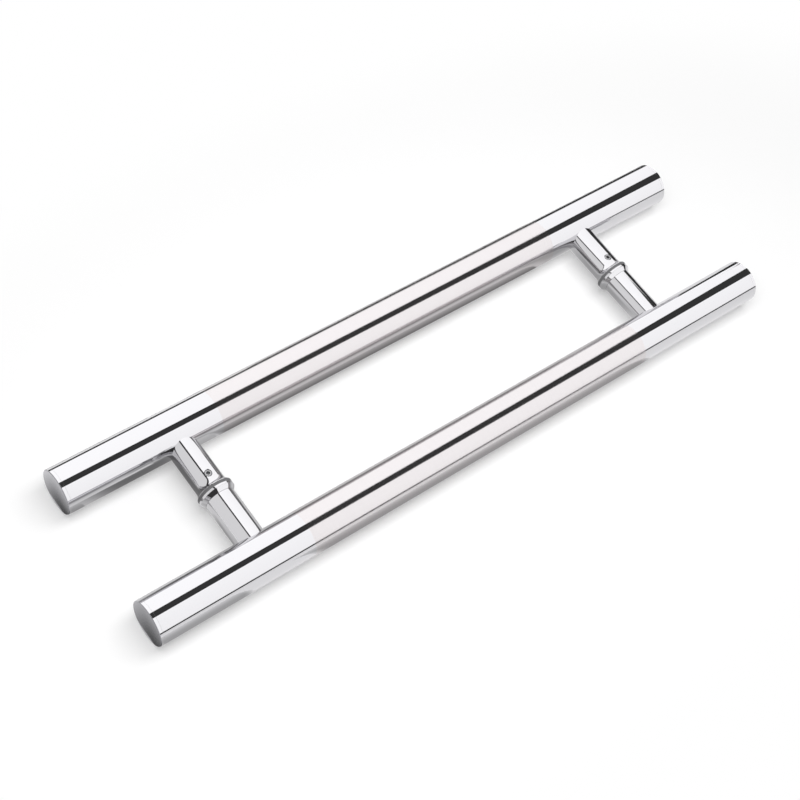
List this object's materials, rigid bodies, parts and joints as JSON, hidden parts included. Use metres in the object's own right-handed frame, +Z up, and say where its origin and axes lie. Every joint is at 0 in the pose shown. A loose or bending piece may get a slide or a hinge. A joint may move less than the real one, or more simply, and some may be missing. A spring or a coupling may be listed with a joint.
{
  "type": "glass door pull handle",
  "caption": "Back-to-back pull handle for a frameless glass door: round steel bars with flat caps, joined by round posts with flared collars, polished at the ends and satin between.",
  "frame": {"origin": "midway between the two clamp bolts, in the plane of the glass", "axes": "+X along the bars towards the right end, +Y through the glass from the front bar to the rear bar, +Z up from the surface the handle lies on"},
  "size_m": [0.624, 0.164, 0.038],
  "materials": {
    "bar_steel": "mirror polished at both ends and over the posts, satin brushed between the posts",
    "post_steel": "mirror polished stainless steel",
    "cap_steel": "fine turned satin face with a polished edge",
    "gasket_rubber": "matt grey soft rubber",
    "set_screw_steel": "machined stainless steel",
    "fastener_steel": "machined and zinc plated"
  },
  "bodies": {
    "root": {"front_bar": "bar_steel", "front_left_cap": "cap_steel", "front_left_gasket": "gasket_rubber", "front_left_nut": "fastener_steel", "front_left_post": "post_steel", "front_left_post_screw": "fastener_steel", "front_right_cap": "cap_steel", "front_right_gasket": "gasket_rubber", "front_right_nut": "fastener_steel", "front_right_post": "post_steel", "front_right_post_screw": "fastener_steel", "left_boss": "fastener_steel", "left_clamp_bolt": "fastener_steel", "left_collar": "post_steel", "left_insert": "fastener_steel", "left_set_screw": "set_screw_steel", "rear_bar": "bar_steel", "rear_left_cap": "cap_steel", "rear_left_gasket": "gasket_rubber", "rear_left_nut": "fastener_steel", "rear_left_post": "post_steel", "rear_left_post_screw": "fastener_steel", "rear_right_cap": "cap_steel", "rear_right_gasket": "gasket_rubber", "rear_right_nut": "fastener_steel", "rear_right_post": "post_steel", "rear_right_post_screw": "fastener_steel", "right_boss": "fastener_steel", "right_clamp_bolt": "fastener_steel", "right_collar": "post_steel", "right_insert": "fastener_steel", "right_set_screw": "set_screw_steel"}
  },
  "joints": []
}
